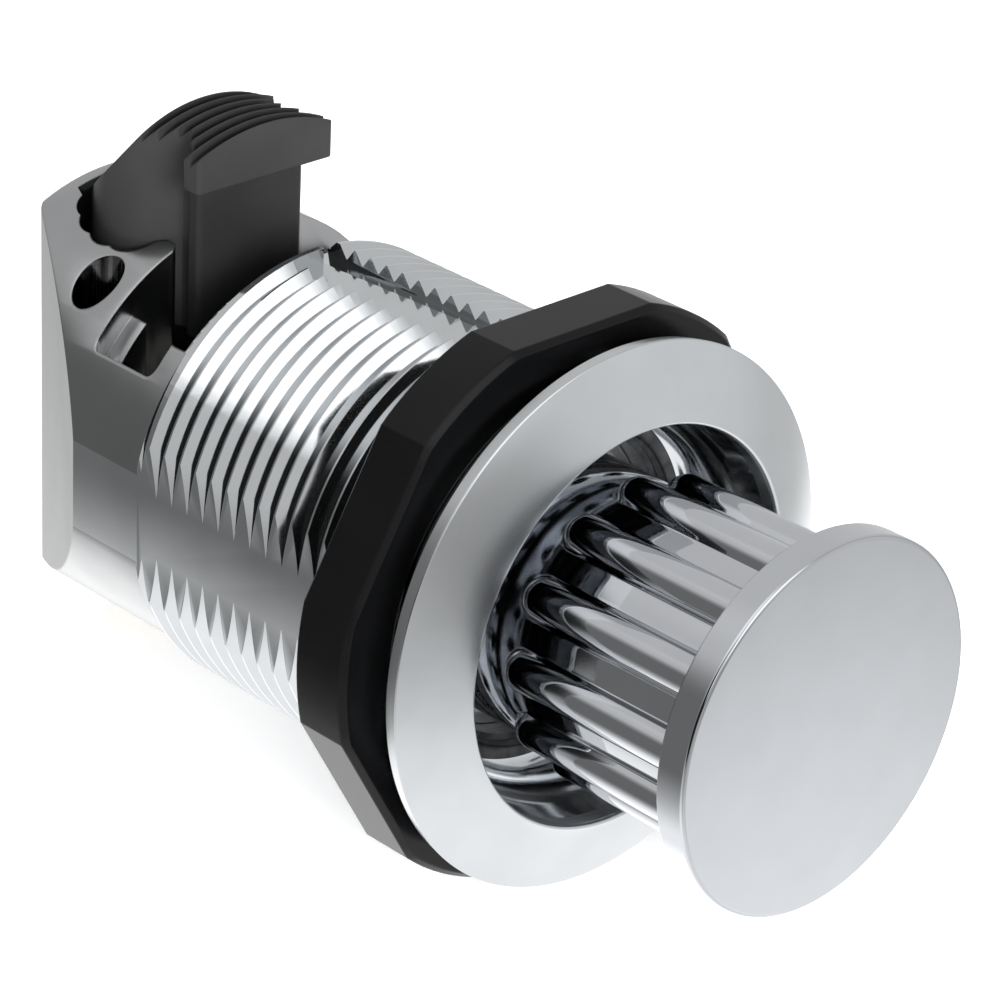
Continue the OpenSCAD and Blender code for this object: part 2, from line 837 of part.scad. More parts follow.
// Everything above the ramp behind the teeth: an arc that is let down along the ramp's slope
module bolt_ramp_cut() {
    slope = tan(ramp_angle);
    run = bolt_rear + cut - ramp_y;
    start = ramp_y - tooth_pitch / 2;
    rise = bolt_top - ramp_drop - ramp_r + slope * ramp_y;
    multmatrix([[1, 0, 0, 0], [0, 1, 0, 0], [0, -slope, 1, rise]])
        difference() {
            box([-ramp_r + tuck, start, 0], [ramp_r - tuck, ramp_y + run, ramp_r + cut + slope * run]);
            rod_y(start - cut, ramp_y + run + cut, ramp_r);
        }
}

// Cam window: the pin pulls the bolt down along the slant, and the bolt can drop past a resting pin
module cam_window() {
    side_prism(0, leg_t + 2 * cut)
        round_triangle([pin_y, pin_z], [pin_y, pin_z + bolt_travel], [pin_y - pull_travel, pin_z + bolt_travel],
                       pin_r + pin_gap);
}

body();
trim_ring();
panel_nut();
guide_bush();
stop_pad();
park_ring();
bottom_plug();
bolt_spring();
pull_rod();
rod_washer();
rod_screw();
fork();
fork_screw();
cross_pin();
pin_clip_left();
pin_clip_right();
knob();
stem_collar();
slide_ring();
knob_spring();
bolt();
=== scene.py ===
"""Looks of a push-to-close latch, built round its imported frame.

Axes: X to the right, Y from the knob (front) to the slam bolt (rear), Z up. The origin lies on the
barrel's axis in the plane of the trim ring's back face. Sizes are written in millimetres and turned
into metres where a mesh is made.
"""

import logging
import math
from collections.abc import Callable, Sequence
from dataclasses import dataclass, field
from enum import Enum

import bmesh
import bpy
import numpy as np
from mathutils import Matrix, Vector


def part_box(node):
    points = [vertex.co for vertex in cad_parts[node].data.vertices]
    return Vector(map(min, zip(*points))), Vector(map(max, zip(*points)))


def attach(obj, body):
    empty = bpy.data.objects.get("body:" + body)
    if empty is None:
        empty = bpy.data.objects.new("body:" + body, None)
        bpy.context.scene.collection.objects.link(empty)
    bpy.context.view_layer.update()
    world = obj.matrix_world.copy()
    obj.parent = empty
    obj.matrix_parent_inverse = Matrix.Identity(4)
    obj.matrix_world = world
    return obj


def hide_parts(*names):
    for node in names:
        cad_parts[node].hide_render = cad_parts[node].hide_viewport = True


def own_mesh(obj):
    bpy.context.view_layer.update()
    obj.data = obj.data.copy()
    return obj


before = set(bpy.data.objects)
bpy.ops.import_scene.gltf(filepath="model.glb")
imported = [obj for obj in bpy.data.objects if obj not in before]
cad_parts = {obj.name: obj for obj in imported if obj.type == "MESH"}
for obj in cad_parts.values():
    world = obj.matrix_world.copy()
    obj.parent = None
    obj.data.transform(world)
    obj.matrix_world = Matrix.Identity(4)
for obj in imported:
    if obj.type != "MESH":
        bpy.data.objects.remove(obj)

LOG = logging.getLogger("latch")
MM = 0.001


class Body(str, Enum):
    """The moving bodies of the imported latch."""

    CASE = "case"
    PULL = "pull"
    KNOB = "knob"
    BOLT = "bolt"


class Slot(str, Enum):
    """The record's material slots."""

    CASTING = "satin_casting"
    POLISHED = "polished"
    NYLON = "black_nylon"
    ACETAL = "pale_acetal"
    RUBBER = "soft_rubber"
    SPRING = "spring_steel"
    STEEL = "turned_steel"
    BRASS = "plain_brass"


# Shapes that the pieces are made of


def grid_quads(rows: int, cols: int, close_rows: bool, close_cols: bool) -> np.ndarray:
    """Corner indices of the quads of a grid of points.

    Args:
        rows: Number of rows.
        cols: Number of points in a row.
        close_rows: Whether the last row joins the first.
        close_cols: Whether the last point of a row joins its first.

    Returns:
        An array of four indices per quad, for points counted row by row.
    """
    i = np.arange(rows if close_rows else rows - 1)[:, None]
    j = np.arange(cols if close_cols else cols - 1)[None, :]
    a = i * cols + j
    b = i * cols + (j + 1) % cols
    c = ((i + 1) % rows) * cols + (j + 1) % cols
    d = ((i + 1) % rows) * cols + j
    return np.stack([a, b, c, d], axis=-1).reshape(-1, 4)


def add_object(name: str, data: bpy.types.ID) -> bpy.types.Object:
    """Makes an object for a mesh, lamp or camera and links it to the scene."""
    obj = bpy.data.objects.new(name, data)
    bpy.context.scene.collection.objects.link(obj)
    return obj


def mesh_object(name: str, points: np.ndarray, faces: Sequence[Sequence[int]]) -> bpy.types.Object:
    """A smooth mesh object at the origin, with its faces turned outwards.

    Args:
        name: Name of the piece.
        points: Its points, in millimetres.
        faces: Corner indices of each face.

    Returns:
        The object, linked to the scene.
    """
    mesh = bpy.data.meshes.new(name)
    mesh.from_pydata((np.asarray(points, float) * MM).tolist(), [], [list(map(int, f)) for f in faces])
    mesh.validate()
    obj = add_object(name, mesh)
    if signed_volume(mesh) < 0:
        mesh.flip_normals()
    mesh.polygons.foreach_set("use_smooth", np.ones(len(mesh.polygons), bool))
    mesh.update()
    return obj


def signed_volume(mesh: bpy.types.Mesh) -> float:
    """Volume inside a closed mesh, as a sixth of the triple products of its triangles.

    Args:
        mesh: The mesh, with its origin anywhere.

    Returns:
        The volume, which is negative if the faces point inwards.
    """
    mesh.calc_loop_triangles()
    tri = np.zeros(len(mesh.loop_triangles) * 3, np.int32)
    mesh.loop_triangles.foreach_get("vertices", tri)
    co = np.zeros(len(mesh.vertices) * 3)
    mesh.vertices.foreach_get("co", co)
    p = co.reshape(-1, 3)[tri.reshape(-1, 3)]
    return float(np.einsum("ij,ij->i", p[:, 0], np.cross(p[:, 1], p[:, 2])).sum() / 6)


def rounded(corners: Sequence[tuple[float, float, float]], closed: bool, steps: int = 6) -> np.ndarray:
    """A line of straight runs whose corners are rounded.

    Each corner becomes an arc that starts and ends where a circle of the corner's radius touches both
    sides. Just before and after each arc stands one more point, so that smooth shading leaves the
    straight runs flat.

    Args:
        corners: (r, y, radius) of each corner.
        closed: Whether the line is a loop. The ends of an open line stay as they are.
        steps: Points in each arc.

    Returns:
        The (r, y) points.
    """
    p = np.array([c[:2] for c in corners], float)
    n = len(p)
    out: list[np.ndarray] = []
    for i in range(n):
        radius = corners[i][2]
        if radius <= 0 or (not closed and i in (0, n - 1)):
            out.append(p[i][None, :])
            continue
        u = p[i - 1] - p[i]
        v = p[(i + 1) % n] - p[i]
        lu, lv = np.linalg.norm(u), np.linalg.norm(v)
        u, v = u / lu, v / lv
        half = math.acos(float(np.clip(u @ v, -1, 1))) / 2
        if half > math.radians(89.9):
            out.append(p[i][None, :])
            continue
        reach = min(radius / math.tan(half), 0.45 * lu, 0.45 * lv)
        r = reach * math.tan(half)
        middle = (u + v) / np.linalg.norm(u + v)
        centre = p[i] + middle * (r / math.sin(half))
        a, b = p[i] + u * reach - centre, p[i] + v * reach - centre
        turn = math.atan2(a[0] * b[1] - a[1] * b[0], float(a @ b))
        t = np.linspace(0, turn, steps + 1)
        cos, sin = np.cos(t), np.sin(t)
        arc = centre + np.stack([a[0] * cos - a[1] * sin, a[0] * sin + a[1] * cos], 1)
        ease = min(0.35 * r, 0.04 * min(lu, lv))
        out.append(np.vstack([arc[:1] + u * ease, arc, arc[-1:] + v * ease]))
    return np.vstack(out)


def turned(name: str, profile: np.ndarray, columns: int = 256) -> bpy.types.Object:
    """A surface of revolution about the Y axis.

    A point is (r sin t, y, r cos t), with (r, y) along the profile and t once round. A profile that
    starts or ends on the axis closes there in one pole point. Otherwise it is a closed loop.

    Args:
        name: Name of the piece.
        profile: The (r, y) points, in millimetres.
        columns: Points once round.

    Returns:
        The object.
    """
    t = np.linspace(0, 2 * math.pi, columns, endpoint=False)

    def row(r: float, y: float) -> tuple[np.ndarray, np.ndarray, np.ndarray]:
        """One circle of points."""
        return r * np.sin(t), np.full(columns, y), r * np.cos(t)

    return swept_columns(name, row, profile, columns)


def pole_fan(ring: int, count: int, pole: int) -> list[list[int]]:
    """Triangles (k, k + 1, pole) from a ring of a grid to one point, turned over for the first ring.

    Args:
        ring: Number of the ring.
        count: Points in each ring.
        pole: Index of the point.

    Returns:
        Three indices per triangle.
    """
    k = np.arange(count)
    a, b = ring * count + k, ring * count + (k + 1) % count
    if ring == 0:
        a, b = b, a
    return np.stack([a, b, np.full(count, pole)], 1).tolist()


def swept_columns(
    name: str,
    row: Callable[[float, float], tuple[np.ndarray, np.ndarray, np.ndarray]],
    profile: np.ndarray,
    columns: int,
) -> bpy.types.Object:
    """A closed surface made of one ring of points for each point of a profile.

    Args:
        name: Name of the piece.
        row: Gives the X, Y and Z of a ring's points from the profile point (r, y).
        profile: The profile points.
        columns: Points in a ring.

    Returns:
        The object.
    """
    first_pole, last_pole = profile[0][0] < 1e-6, profile[-1][0] < 1e-6
    inner = profile[1 if first_pole else 0 : len(profile) - 1 if last_pole else len(profile)]
    points = np.concatenate([np.stack(row(r, y), 1) for r, y in inner])
    faces = grid_quads(len(inner), columns, not (first_pole or last_pole), True).tolist()
    for is_pole, ring, at in ((first_pole, 0, profile[0]), (last_pole, len(inner) - 1, profile[-1])):
        if is_pole:
            faces += pole_fan(ring, columns, len(points))
            points = np.vstack([points, [[0.0, at[1], 0.0]]])
    return mesh_object(name, points, faces)


def tube(name: str, path: np.ndarray, radius: float, sides: int = 14) -> bpy.types.Object:
    """A round wire along a path, with closed ends.

    A ring of points stands across each path point: centre + radius (cos a, sin a) in the plane of two
    directions at right angles to the path, one of which stays as near as it can to the one before.

    Args:
        name: Name of the piece.
        path: Points of the wire's centre line, in millimetres.
        radius: Radius of the wire.
        sides: Points round the wire.

    Returns:
        The object.
    """
    along = np.gradient(path, axis=0)
    along /= np.linalg.norm(along, axis=1)[:, None]
    axis = [0.0, 1.0, 0.0] if np.ptp(path[:, 1]) > np.ptp(path[:, 2]) else [0.0, 0.0, 1.0]
    out = np.cross(along, np.array(axis))
    out /= np.linalg.norm(out, axis=1)[:, None]
    up = np.cross(out, along)
    a = np.linspace(0, 2 * math.pi, sides, endpoint=False)[None, :, None]
    spokes = np.cos(a) * out[:, None, :] + np.sin(a) * up[:, None, :]
    points = (path[:, None, :] + radius * spokes).reshape(-1, 3)
    faces = grid_quads(len(path), sides, False, True).tolist()
    faces += pole_fan(0, sides, len(points)) + pole_fan(len(path) - 1, sides, len(points) + 1)
    points = np.vstack([points, path[:1], path[-1:]])
    return mesh_object(name, points, faces)


def coil_path(radius: float, wire: float, height: float, turns: float, steps: int = 40) -> np.ndarray:
    """Centre line of a coil spring that stands on Z = 0 and has one closed turn at each end.

    Height climbs by a little over one wire in each end turn and evenly between them.

    Args:
        radius: Radius of the coil's centre line.
        wire: Thickness of the wire.
        height: Length of the spring.
        turns: Turns of the coil.
        steps: Points in a turn.

    Returns:
        The points, in millimetres.
    """
    t = np.linspace(0, turns, int(turns * steps) + 1)
    lead = wire * 1.08
    middle = (height - wire - 2 * lead) / (turns - 2)
    top = height - wire - lead * (turns - t)
    z = np.where(t < 1, lead * t, np.where(t > turns - 1, top, lead + middle * (t - 1)))
    return np.stack([radius * np.cos(2 * math.pi * t), radius * np.sin(2 * math.pi * t), z + wire / 2], 1)


def merged_copy(node: str, name: str) -> bpy.types.Object:
    """A copy of a CAD node's mesh with its loose triangles joined, as a new piece.

    Points that agree to a tenth of a micrometre become one.

    Args:
        node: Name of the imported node.
        name: Name of the piece.

    Returns:
        The object, linked to the scene.
    """
    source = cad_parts[node].data
    co = np.zeros(len(source.vertices) * 3)
    source.vertices.foreach_get("co", co)
    faces = np.zeros(len(source.loops), np.int32)
    source.loops.foreach_get("vertex_index", faces)
    keys = np.round(co.reshape(-1, 3) * 1e7).astype(np.int64)
    unique, inverse = np.unique(keys, axis=0, return_inverse=True)
    tri = inverse.reshape(-1)[faces].reshape(-1, 3)
    good = (tri[:, 0] != tri[:, 1]) & (tri[:, 1] != tri[:, 2]) & (tri[:, 0] != tri[:, 2])
    fresh = bpy.data.meshes.new(name)
    fresh.from_pydata((unique / 1e7).tolist(), [], tri[good].tolist())
    fresh.validate()
    fresh.update()
    return add_object(name, fresh)


def apply_modifiers(obj: bpy.types.Object) -> None:
    """Puts the result of an object's modifiers into its mesh and takes the modifiers off."""
    graph = bpy.context.evaluated_depsgraph_get()
    graph.update()
    shown = obj.evaluated_get(graph)
    result = bpy.data.meshes.new_from_object(shown, preserve_all_data_layers=True, depsgraph=graph)
    obj.modifiers.clear()
    old = obj.data
    obj.data = result
    bpy.data.meshes.remove(old)


def smooth_by_angle(obj: bpy.types.Object, degrees: float) -> None:
    """Shades an object smooth, apart from its sharp edges.

    Args:
        obj: The object.
        degrees: An edge is sharp where its faces turn by more than this.
    """
    obj.data.polygons.foreach_set("use_smooth", np.ones(len(obj.data.polygons), bool))
    obj.data.set_sharp_from_angle(angle=math.radians(degrees))
    obj.data.update()


def face_centres(mesh: bpy.types.Mesh) -> np.ndarray:
    """X, Y and Z of the centres of a mesh's faces, in millimetres."""
    centre = np.zeros(len(mesh.polygons) * 3)
    mesh.polygons.foreach_get("center", centre)
    return centre.reshape(-1, 3) / MM


# Finishes


class Graph:
    """A small builder of node networks."""

    def __init__(self, owner: bpy.types.Material | bpy.types.World) -> None:
        """Starts the empty network of a material or a world."""
        owner.use_nodes = True
        self.tree = owner.node_tree
        self.tree.nodes.clear()

    def node(self, kind: str, inputs: dict | None = None, **values: object) -> bpy.types.Node:
        """Adds a node.

        Args:
            kind: Its type, in Blender's words.
            inputs: What its inputs get, by their name or number: a socket to join, or a value.
            values: Its properties by name.

        Returns:
            The node.
        """
        made = self.tree.nodes.new(kind)
        for key, value in values.items():
            setattr(made, key, value)
        for key, value in (inputs or {}).items():
            if isinstance(value, bpy.types.NodeSocket):
                self.tree.links.new(value, made.inputs[key])
            else:
                made.inputs[key].default_value = value
        return made

    def math(self, operation: str, *values: object) -> bpy.types.NodeSocket:
        """Adds a math node.

        Args:
            operation: What it does, in Blender's words.
            values: Its inputs, as sockets or numbers.

        Returns:
            Its output.
        """
        return self.node("ShaderNodeMath", dict(enumerate(values)), operation=operation).outputs[0]

    def ease(self, value: bpy.types.NodeSocket, low: float, high: float, top: float) -> bpy.types.NodeSocket:
        """Maps a value to a smooth step.

        Args:
            value: The value.
            low: Where the step leaves 0.
            high: Where the step reaches its top.
            top: The value at its top.

        Returns:
            The step's output.
        """
        step = {"Value": value, "From Min": low, "From Max": high, "To Min": 0.0, "To Max": top}
        return self.node("ShaderNodeMapRange", step, interpolation_type="SMOOTHSTEP").outputs["Result"]

    def noise(self, place: bpy.types.NodeSocket, size: float, detail: float) -> bpy.types.NodeSocket:
        """Adds a noise texture.

        Args:
            place: Where it is looked up, in metres.
            size: Size of its patches, in millimetres.
            detail: How many finer layers it has.

        Returns:
            Its output.
        """
        inputs = {"Vector": place, "Scale": 1000.0 / size, "Detail": detail}
        return self.node("ShaderNodeTexNoise", inputs).outputs["Fac"]

    def mix(
        self, share: bpy.types.NodeSocket, first: bpy.types.NodeSocket, second: bpy.types.NodeSocket
    ) -> bpy.types.NodeSocket:
        """Mixes two shaders: share 0 gives the first one, and share 1 the second."""
        return self.node("ShaderNodeMixShader", {0: share, 1: first, 2: second}).outputs[0]


@dataclass(frozen=True)
class Finish:
    """A surface finish: colour, gloss, and the fine structure that breaks them up.

    Sizes of structure are in millimetres. `grain` is the depth of the bump and `mottle` the share by
    which colour and gloss vary. `turned` draws fine rings about the Y axis, as a lathe leaves them.
    `edge` is the radius to which sharp edges look rounded.
    """

    name: str
    colour: tuple[float, float, float]
    metallic: float
    roughness: float
    grain_size: float = 0.3
    grain: float = 0.004
    mottle: float = 0.06
    mottle_size: float = 4.0
    gloss_spread: float = 0.04
    turned: bool = False
    specular: float = 0.5
    edge: float = 0.0

    def material(self) -> bpy.types.Material:
        """The finish as a node material on Object coordinates, made once and then shared.

        Returns:
            The material.
        """
        found = bpy.data.materials.get(self.name)
        if found:
            return found
        made = bpy.data.materials.new(self.name)
        made.diffuse_color = (*self.colour, 1.0)
        g = Graph(made)
        place = g.node("ShaderNodeTexCoord").outputs["Object"]
        broad = g.noise(place, self.mottle_size, 3.0)
        ramp = g.node("ShaderNodeValToRGB", {"Fac": broad})
        low = [c * (1 - self.mottle) for c in self.colour]
        high = [min(1.0, c * (1 + self.mottle)) for c in self.colour]
        for stop, at, colour in zip(ramp.color_ramp.elements, (0.3, 0.7), (low, high)):
            stop.position = at
            stop.color = (*colour, 1.0)
        along = place
        if self.turned:
            along = g.node("ShaderNodeMapping", {"Vector": place, "Scale": (0.02, 1.0, 0.02)}).outputs[0]
        fine = g.noise(along, self.grain_size, 2.0)
        least = max(0.02, self.roughness - self.gloss_spread / 2)
        surface = {
            "Base Color": ramp.outputs["Color"],
            "Metallic": self.metallic,
            "Specular IOR Level": self.specular,
            "Roughness": g.math("MULTIPLY_ADD", fine, self.gloss_spread, least),
        }
        if self.edge > 0:
            soft = g.node("ShaderNodeBevel", {"Radius": self.edge * MM}, samples=6)
            surface["Normal"] = soft.outputs[0]
        if self.grain > 0:
            bump = {"Strength": 1.0, "Distance": self.grain * MM, "Height": fine}
            if "Normal" in surface:
                bump["Normal"] = surface["Normal"]
            surface["Normal"] = g.node("ShaderNodeBump", bump).outputs[0]
        shader = g.node("ShaderNodeBsdfPrincipled", surface).outputs[0]
        g.node("ShaderNodeOutputMaterial", {"Surface": shader})
        return made

    def dress(self, obj: bpy.types.Object) -> None:
        """Gives the finish to every part of an object."""
        if len(obj.material_slots) == 0:
            obj.data.materials.append(None)
        for place in obj.material_slots:
            place.link = "OBJECT"
            place.material = self.material()


BRIGHT_CHROME = Finish(
    "look_bright_chrome", (0.585, 0.60, 0.625), 1.0, 0.035,
    grain_size=0.8, grain=0.0, mottle=0.02, gloss_spread=0.02,
)
FACE_CHROME = Finish(
    "look_face_chrome", (0.475, 0.49, 0.51), 1.0, 0.12,
    grain_size=0.3, grain=0.0, mottle=0.02, gloss_spread=0.03,
)
SATIN_CHROME = Finish(
    "look_satin_chrome", (0.60, 0.62, 0.635), 1.0, 0.24,
    grain_size=0.12, grain=0.0002, mottle=0.03, gloss_spread=0.05,
)
THREAD_CHROME = Finish(
    "look_thread_chrome", (0.60, 0.62, 0.635), 1.0, 0.08,
    grain_size=0.15, grain=0.0003, mottle=0.04, gloss_spread=0.05,
)
CUP_CHROME = Finish(
    "look_cup_chrome", (0.62, 0.64, 0.66), 1.0, 0.08,
    grain_size=0.2, grain=0.0003, mottle=0.08, gloss_spread=0.04,
)
# Painted shade: a dark, streaked finish for the back of the knob's cup, standing in for the shade deep in
# the recess.
CUP_FLOOR_PAINTED_SHADE = Finish(
    "look_cup_floor_painted_shade", (0.045, 0.046, 0.048), 1.0, 0.09,
    grain_size=0.16, grain=0.003, mottle=0.4, mottle_size=1.0, gloss_spread=0.08,
)
SATIN_CASTING = Finish(
    "look_satin_casting", (0.40, 0.405, 0.41), 1.0, 0.22,
    grain_size=0.14, grain=0.0005, mottle=0.04, gloss_spread=0.06, edge=0.22,
)
# Painted shade: a near-black, streaked casting finish for the cup and the bore, standing in for the shade
# inside them.
CAVITY_PAINTED_SHADE = Finish(
    "look_cavity_painted_shade", (0.07, 0.071, 0.073), 1.0, 0.3,
    grain_size=0.3, grain=0.006, mottle=0.6, mottle_size=1.4, gloss_spread=0.1,
)
# Painted shade: a dark casting finish for the walls of the core holes, standing in for the shade inside
# them.
CORE_PAINTED_SHADE = Finish(
    "look_core_painted_shade", (0.16, 0.162, 0.165), 1.0, 0.1,
    grain_size=0.3, grain=0.002, mottle=0.3, mottle_size=0.8, edge=0.2,
)
BLACK_NYLON = Finish(
    "look_black_nylon", (0.0028, 0.0029, 0.0032), 0.0, 0.2,
    grain_size=0.5, grain=0.0006, mottle=0.12, gloss_spread=0.05, specular=0.16, edge=0.2,
)
BOLT_NYLON = Finish(
    "look_bolt_nylon", (0.028, 0.028, 0.0282), 0.0, 0.4,
    grain_size=0.2, grain=0.002, mottle=0.1, gloss_spread=0.1, specular=0.3, edge=0.14,
)
# Painted shade: a darker nylon for the plate under the strike tab, standing in for the tab's shadow.
PLATE_PAINTED_SHADE = Finish(
    "look_plate_painted_shade", (0.018, 0.018, 0.0182), 0.0, 0.42,
    grain_size=0.2, grain=0.002, mottle=0.12, gloss_spread=0.1, specular=0.25, edge=0.14,
)
PALE_ACETAL = Finish("look_pale_acetal", (0.72, 0.70, 0.64), 0.0, 0.4, grain_size=0.3, grain=0.002)
SOFT_RUBBER = Finish(
    "look_soft_rubber", (0.02, 0.02, 0.02), 0.0, 0.65, grain_size=0.15, grain=0.006, mottle=0.2
)
SPRING_STEEL = Finish("look_spring_steel", (0.48, 0.47, 0.46), 1.0, 0.22, grain_size=0.1, grain=0.0008)
TURNED_STEEL = Finish(
    "look_turned_steel", (0.55, 0.55, 0.56), 1.0, 0.2, grain_size=0.12, grain=0.0008, turned=True
)
PLAIN_BRASS = Finish("look_plain_brass", (0.72, 0.55, 0.28), 1.0, 0.26, grain_size=0.2, grain=0.001)


def finish_faces(piece: bpy.types.Object, finishes: Sequence[Finish], index: np.ndarray) -> None:
    """Gives each face of a piece its own one of several finishes.

    Args:
        piece: The piece.
        finishes: The finishes that it has.
        index: For each face, the place of its finish among them.
    """
    piece.data.materials.clear()
    for finish in finishes:
        piece.data.materials.append(finish.material())
    piece.data.polygons.foreach_set("material_index", index.astype(np.int32))
    piece.data.update()


def tie_piece(piece: bpy.types.Object, body: Body, slot: Slot, *nodes: str) -> None:
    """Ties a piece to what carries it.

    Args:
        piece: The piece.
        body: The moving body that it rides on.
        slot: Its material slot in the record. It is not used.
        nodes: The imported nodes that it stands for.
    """
    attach(piece, body.value)
    if nodes:
        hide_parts(*nodes)
    LOG.info("%s: %d faces, rides on %s", piece.name, len(piece.data.polygons), body.value)


# Pieces of the latch


@dataclass
class TrimRing:
    """The polished ring in front of the panel, with a convex face and a rounded bore."""

    back_r: float = 18.9
    edge_r: float = 19.1
    edge_y: float = -1.03
    front_y: float = -2.98
    bore_r: float = 13.9
    fillet: float = 0.32
    crown: float = 0.09
    spigot_r: float = 14.97
    spigot_y: float = -1.5
    seat_r: float = 16.25
    seat_y: float = -0.4
    fine_round: float = 0.05
    step_round: float = 0.08
    back_round: float = 0.1
    edge_round: float = 0.12
    face_points: int = 15
    columns: int = 320

    def profile(self) -> np.ndarray:
        """The ring's section as a closed loop: the cone's face is a straight line plus a low parabola.

        Returns:
            The (r, y) points.
        """
        a = np.array([self.edge_r, self.edge_y])
        b = np.array([self.bore_r + self.fillet * 0.6, self.front_y])
        side = (b - a) / np.linalg.norm(b - a)
        out = np.array([-side[1], side[0]])
        if out[1] > 0:
            out = -out
        t = np.linspace(0, 1, self.face_points)
        face = a + (b - a) * t[:, None] + out * (4 * self.crown * t * (1 - t))[:, None]
        back = [
            (self.spigot_r, self.seat_y, 0.0),
            (self.seat_r, self.seat_y, self.fine_round),
            (self.seat_r, 0.0, self.fine_round),
            (self.back_r, 0.0, self.back_round),
            (self.edge_r, self.edge_y, self.edge_round),
        ]
        bore = [
            (self.bore_r + self.fillet * 0.4, self.front_y, self.fillet),
            (self.bore_r, self.front_y + self.fillet, self.fillet),
            (self.bore_r, self.spigot_y, self.step_round),
            (self.spigot_r, self.spigot_y, self.fine_round),
        ]
        return rounded([*back, *((r, y, 0.0) for r, y in face[1:-1]), *bore], closed=True)

    def build(self) -> None:
        """Makes and dresses the ring."""
        ring = turned("trim_ring_polished", self.profile(), self.columns)
        SATIN_CHROME.dress(ring)
        tie_piece(ring, Body.CASE, Slot.POLISHED, "trim_ring")


